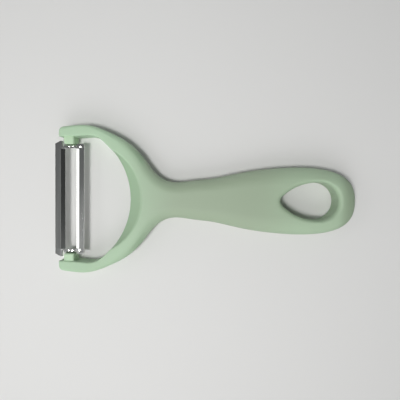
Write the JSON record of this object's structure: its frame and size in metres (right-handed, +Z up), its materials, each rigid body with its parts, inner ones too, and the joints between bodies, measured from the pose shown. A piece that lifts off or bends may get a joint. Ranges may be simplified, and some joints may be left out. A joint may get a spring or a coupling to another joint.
{
  "type": "vegetable peeler",
  "caption": "Wishbone-shaped vegetable peeler: soft-skinned handle with a teardrop hanging hole, and a slotted steel blade that swivels on pins between the arm tips.",
  "frame": {"origin": "centre of the bounding box seen from above, on the flat underside that rests on a table", "axes": "+X from the blade to the far end of the handle, +Y along the blade towards the left arm, +Z up"},
  "size_m": [0.1426, 0.07, 0.013],
  "materials": {
    "hard_plastic": "satin moulded",
    "soft_skin": "matte soft touch",
    "blade_steel": "rolled and ground",
    "pin_steel": "turned"
  },
  "bodies": {
    "handle": {"core_frame": "hard_plastic", "soft_grip": "soft_skin", "left_pivot_pin": "pin_steel", "right_pivot_pin": "pin_steel"},
    "blade": {"blade": "blade_steel"}
  },
  "joints": [
    {"name": "blade_swivel", "type": "hinge", "parent": "handle", "child": "blade", "pos_m": [-0.06442, 0, 0.0053], "axis": [0, 1, 0], "range_deg": [-19, 19]}
  ]
}
